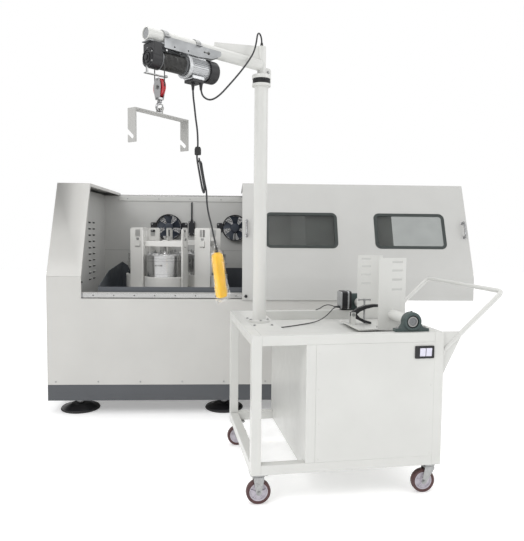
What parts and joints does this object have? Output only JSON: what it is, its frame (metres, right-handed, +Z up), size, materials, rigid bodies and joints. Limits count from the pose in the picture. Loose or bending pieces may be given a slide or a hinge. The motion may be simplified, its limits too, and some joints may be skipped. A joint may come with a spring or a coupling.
{
  "type": "planetary ball mill",
  "caption": "Floor-standing planetary ball mill with a sliding hood, and its jar trolley with jib hoist and tipping cradle.",
  "frame": {"origin": "middle of the footprint of mill and trolley, on the floor", "axes": "+X to the right along the mill seen from the front, +Y to the back of the mill, +Z up"},
  "size_m": [3.177, 3.1322, 2.4405],
  "materials": {
    "plinth_paint": "satin",
    "black_rubber": "matte",
    "frame_paint": "satin",
    "cabinet_paint": "satin",
    "liner_paint": "satin",
    "rail_steel": "satin",
    "window_glass": "gloss",
    "handle_steel": "gloss",
    "cast_parts": "satin",
    "carrier_paint": "satin",
    "belt_rubber": "matte",
    "motor_paint": "satin",
    "fan_plastic": "matte",
    "trolley_paint": "satin",
    "rocker_plastic": "gloss",
    "zinc_steel": "satin",
    "tyre_rubber": "matte",
    "hook_chrome": "gloss",
    "bail_paint": "satin",
    "pendant_plastic": "gloss",
    "cord_rubber": "matte",
    "jar_steel": "gloss"
  },
  "bodies": {
    "mill": {"plinth_frame": "plinth_paint", "levelling_feet": "black_rubber", "body_frame": "frame_paint", "front_panel": "cabinet_paint", "end_and_rear_panels": "cabinet_paint", "chamber_liners": "liner_paint", "guide_rails": "rail_steel", "drip_tub": "plinth_paint", "bearing_housing": "cast_parts", "drive_motor": "motor_paint", "drive_belt": "belt_rubber", "fan_frames": "fan_plastic"},
    "hood": {"hood_shell": "cabinet_paint", "hood_windows": "window_glass", "hood_fittings": "handle_steel"},
    "carrier_group": {"carrier": "carrier_paint", "planet_belts": "belt_rubber"},
    "motor_rotor": {"motor_pulley": "cast_parts"},
    "fan_1": {"fan_rotor_1": "fan_plastic"},
    "fan_2": {"fan_rotor_2": "fan_plastic"},
    "trolley": {"trolley_frame": "trolley_paint", "trolley_panels": "trolley_paint", "push_handle": "trolley_paint", "column": "trolley_paint", "tilt_drive": "cast_parts", "lead_1": "cord_rubber", "lead_2": "cord_rubber"},
    "left_wheels": {"wheels_left": "tyre_rubber"},
    "front_caster": {"caster_fork_front": "zinc_steel"},
    "front_wheel": {"wheel_front": "tyre_rubber"},
    "rear_caster": {"caster_fork_rear": "zinc_steel"},
    "rear_wheel": {"wheel_rear": "tyre_rubber"},
    "rocker_1": {"switch_rocker_1": "rocker_plastic"},
    "rocker_2": {"switch_rocker_2": "rocker_plastic"},
    "jib": {"jib_arm": "trolley_paint", "hoist_body": "motor_paint", "hoist_rope": "zinc_steel", "pendant": "pendant_plastic", "pendant_cord": "cord_rubber", "pendant_hank": "cord_rubber", "pendant_tail": "cord_rubber", "power_cord": "cord_rubber"},
    "drum": {"hoist_drum": "zinc_steel"},
    "hook": {"hook_block": "hook_chrome"},
    "bail": {"lifting_bail": "bail_paint"},
    "cradle": {"pour_cradle": "trolley_paint"},
    "bow": {"clamp_bow": "cast_parts"},
    "screw": {"clamp_screw": "zinc_steel"},
    "planet_1": {"station_1": "carrier_paint", "jar_1": "jar_steel"},
    "lid_1": {"jar_lid_1": "jar_steel"},
    "planet_2": {"station_2": "carrier_paint", "jar_2": "jar_steel"},
    "lid_2": {"jar_lid_2": "jar_steel"},
    "planet_3": {"station_3": "carrier_paint", "jar_3": "jar_steel"},
    "lid_3": {"jar_lid_3": "jar_steel"},
    "planet_4": {"station_4": "carrier_paint", "jar_4": "jar_steel"},
    "lid_4": {"jar_lid_4": "jar_steel"}
  },
  "joints": [
    {"name": "hood_slide", "type": "slide", "parent": "mill", "child": "hood", "axis": [1, 0, 0], "range_m": [-1.2, 0]},
    {"name": "carrier_spin", "type": "hinge", "parent": "mill", "child": "carrier_group", "pos_m": [-0.7105, 0.76612, 0.86], "axis": [0, 0, 1], "continuous": true},
    {"name": "planet_1_spin", "type": "hinge", "parent": "carrier_group", "child": "planet_1", "pos_m": [-0.43824, 0.70076, 0.87], "axis": [0, 0, 1], "continuous": true},
    {"name": "lid_1_lift", "type": "slide", "parent": "planet_1", "child": "lid_1", "axis": [0, 0, 1], "range_m": [0, 0.035]},
    {"name": "planet_2_spin", "type": "hinge", "parent": "carrier_group", "child": "planet_2", "pos_m": [-0.64514, 1.03839, 0.87], "axis": [0, 0, 1], "continuous": true},
    {"name": "lid_2_lift", "type": "slide", "parent": "planet_2", "child": "lid_2", "axis": [0, 0, 1], "range_m": [0, 0.035]},
    {"name": "planet_3_spin", "type": "hinge", "parent": "carrier_group", "child": "planet_3", "pos_m": [-0.98276, 0.83149, 0.87], "axis": [0, 0, 1], "continuous": true},
    {"name": "lid_3_lift", "type": "slide", "parent": "planet_3", "child": "lid_3", "axis": [0, 0, 1], "range_m": [0, 0.035]},
    {"name": "planet_4_spin", "type": "hinge", "parent": "carrier_group", "child": "planet_4", "pos_m": [-0.77587, 0.49386, 0.87], "axis": [0, 0, 1], "continuous": true},
    {"name": "lid_4_lift", "type": "slide", "parent": "planet_4", "child": "lid_4", "axis": [0, 0, 1], "range_m": [0, 0.035]},
    {"name": "motor_spin", "type": "hinge", "parent": "mill", "child": "motor_rotor", "pos_m": [-0.1505, 0.76612, 0.505], "axis": [0, 0, 1], "continuous": true},
    {"name": "fan_1_spin", "type": "hinge", "parent": "mill", "child": "fan_1", "pos_m": [-0.8535, 1.44612, 1.4], "axis": [0, 1, 0], "continuous": true},
    {"name": "fan_2_spin", "type": "hinge", "parent": "mill", "child": "fan_2", "pos_m": [-0.2125, 1.44612, 1.4], "axis": [0, 1, 0], "continuous": true},
    {"name": "trolley_roll", "type": "slide", "parent": "mill", "child": "trolley", "axis": [0.9918, 0.1279, 0], "range_m": [-0.6, 0.6]},
    {"name": "left_wheels_spin", "type": "hinge", "parent": "trolley", "child": "left_wheels", "pos_m": [-0.13744, -0.97282, 0.0625], "axis": [-0.1279, 0.9918, 0], "continuous": true},
    {"name": "front_caster_swivel", "type": "hinge", "parent": "trolley", "child": "front_caster", "pos_m": [0.81987, -1.25769, 0.155], "axis": [0, 0, 1], "continuous": true},
    {"name": "front_wheel_spin", "type": "hinge", "parent": "front_caster", "child": "front_wheel", "pos_m": [0.79012, -1.26153, 0.0625], "axis": [-0.1279, 0.9918, 0], "continuous": true},
    {"name": "rear_caster_swivel", "type": "hinge", "parent": "trolley", "child": "rear_caster", "pos_m": [0.71561, -0.44938, 0.155], "axis": [0, 0, 1], "continuous": true},
    {"name": "rear_wheel_spin", "type": "hinge", "parent": "rear_caster", "child": "rear_wheel", "pos_m": [0.68585, -0.45322, 0.0625], "axis": [-0.1279, 0.9918, 0], "continuous": true},
    {"name": "rocker_1_tip", "type": "hinge", "parent": "trolley", "child": "rocker_1", "pos_m": [0.75496, -1.30942, 0.7585], "axis": [0.9918, 0.1279, 0], "range_deg": [-9.5, 0]},
    {"name": "rocker_2_tip", "type": "hinge", "parent": "trolley", "child": "rocker_2", "pos_m": [0.78868, -1.30507, 0.7585], "axis": [0.9918, 0.1279, 0], "range_deg": [-9.5, 0]},
    {"name": "jib_swing", "type": "hinge", "parent": "trolley", "child": "jib", "pos_m": [-0.07134, -0.96933, 2.175], "axis": [0, 0, 1], "range_deg": [-135, 60]},
    {"name": "hook_lift", "type": "slide", "parent": "jib", "child": "hook", "axis": [0, 0, 1], "range_m": [-1.2, 0], "deforming": ["hoist_rope"]},
    {"name": "drum_spin", "type": "hinge", "parent": "jib", "child": "drum", "pos_m": [-0.52245, -1.36494, 2.168], "axis": [-0.7518, -0.6593, 0], "continuous": true},
    {"name": "bail_swivel", "type": "hinge", "parent": "hook", "child": "bail", "pos_m": [-0.57056, -1.40714, 1.94], "axis": [0, 0, 1], "range_deg": [-45, 25]},
    {"name": "cradle_tilt", "type": "hinge", "parent": "trolley", "child": "cradle", "pos_m": [0.65301, -0.87086, 0.912], "axis": [-0.1279, 0.9918, 0], "range_deg": [0, 65]},
    {"name": "clamp_swing", "type": "hinge", "parent": "cradle", "child": "bow", "pos_m": [0.48057, -0.86285, 0.889], "axis": [-0.1279, 0.9918, 0], "range_deg": [-100, 0]},
    {"name": "clamp_screw_turn", "type": "hinge", "parent": "bow", "child": "screw", "pos_m": [0.55297, -0.85351, 0.9], "axis": [0, 0, 1], "continuous": true}
  ],
  "couplings": [
    {"joint": "planet_1_spin", "follows": "carrier_spin", "ratio": -3},
    {"joint": "planet_2_spin", "follows": "carrier_spin", "ratio": -3},
    {"joint": "planet_3_spin", "follows": "carrier_spin", "ratio": -3},
    {"joint": "planet_4_spin", "follows": "carrier_spin", "ratio": -3},
    {"joint": "motor_spin", "follows": "carrier_spin", "ratio": 2.8571},
    {"joint": "left_wheels_spin", "follows": "trolley_roll", "rad_per_m": 16},
    {"joint": "drum_spin", "follows": "hook_lift", "rad_per_m": 49.02}
  ]
}
